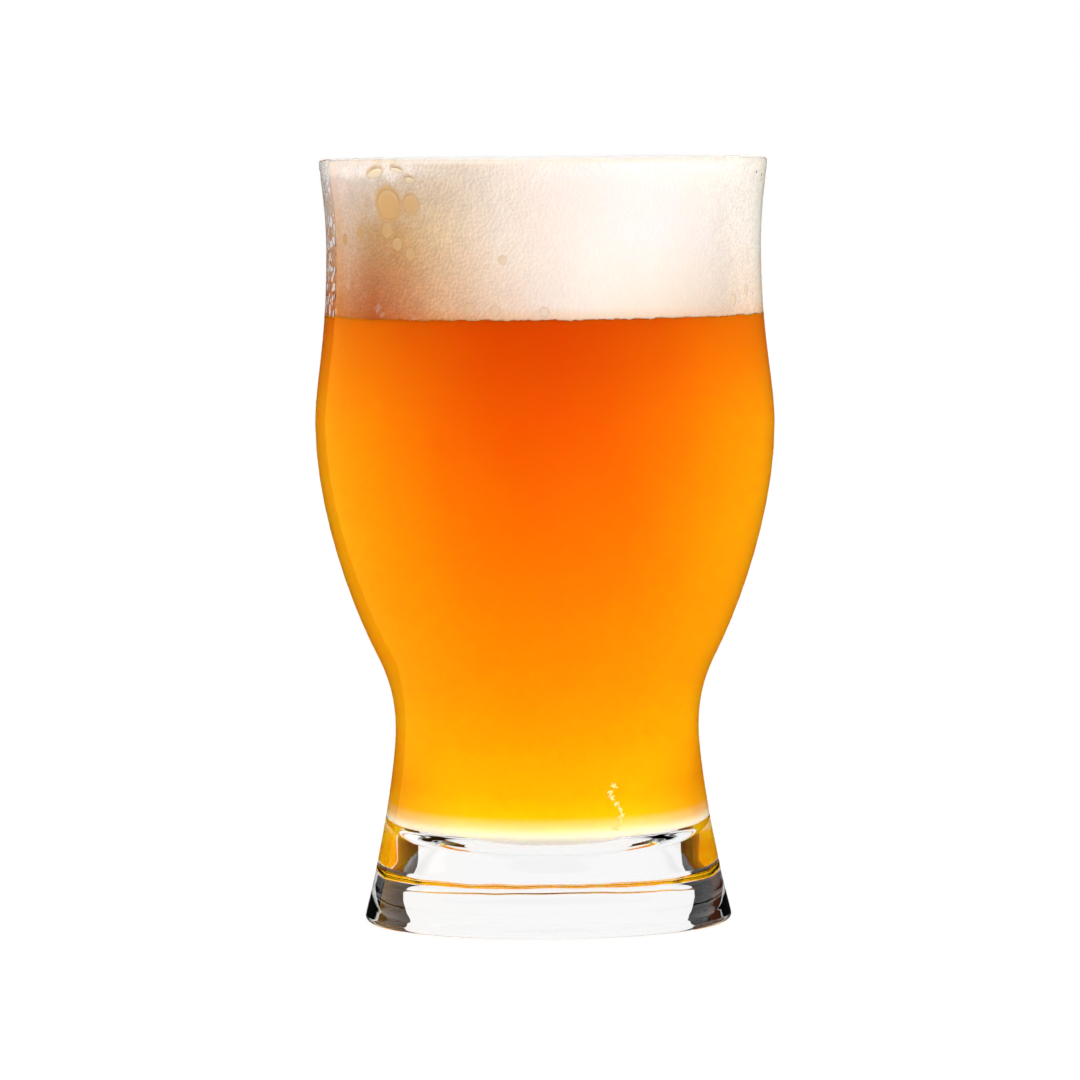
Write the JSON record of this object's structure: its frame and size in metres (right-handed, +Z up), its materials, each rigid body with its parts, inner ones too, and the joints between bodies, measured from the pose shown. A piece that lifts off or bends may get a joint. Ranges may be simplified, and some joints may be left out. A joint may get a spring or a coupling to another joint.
{
  "type": "tulip beer glass",
  "caption": "Heavy-based tulip beer glass, bulged bowl over a waist and flared foot, filled with hazy amber beer under a deep foam head.",
  "frame": {"origin": "centre of the foot, on the table that the glass stands on", "axes": "+Z up along the glass's own axis, +X to the right and -Y towards the viewer in the picture"},
  "size_m": [0.0878, 0.0878, 0.146],
  "materials": {
    "clear_glass": "clear, fire-polished",
    "beer": "hazy amber-orange liquid",
    "foam": "fine cream-white froth",
    "foam_bubble": "thin wet film, tan",
    "trail_bubble": "small gas bubbles in beer"
  },
  "bodies": {
    "root": {"glass": "clear_glass", "beer": "beer", "foam_head": "foam", "foam_bubbles": "foam_bubble", "bubble_trail": "trail_bubble"}
  },
  "joints": []
}
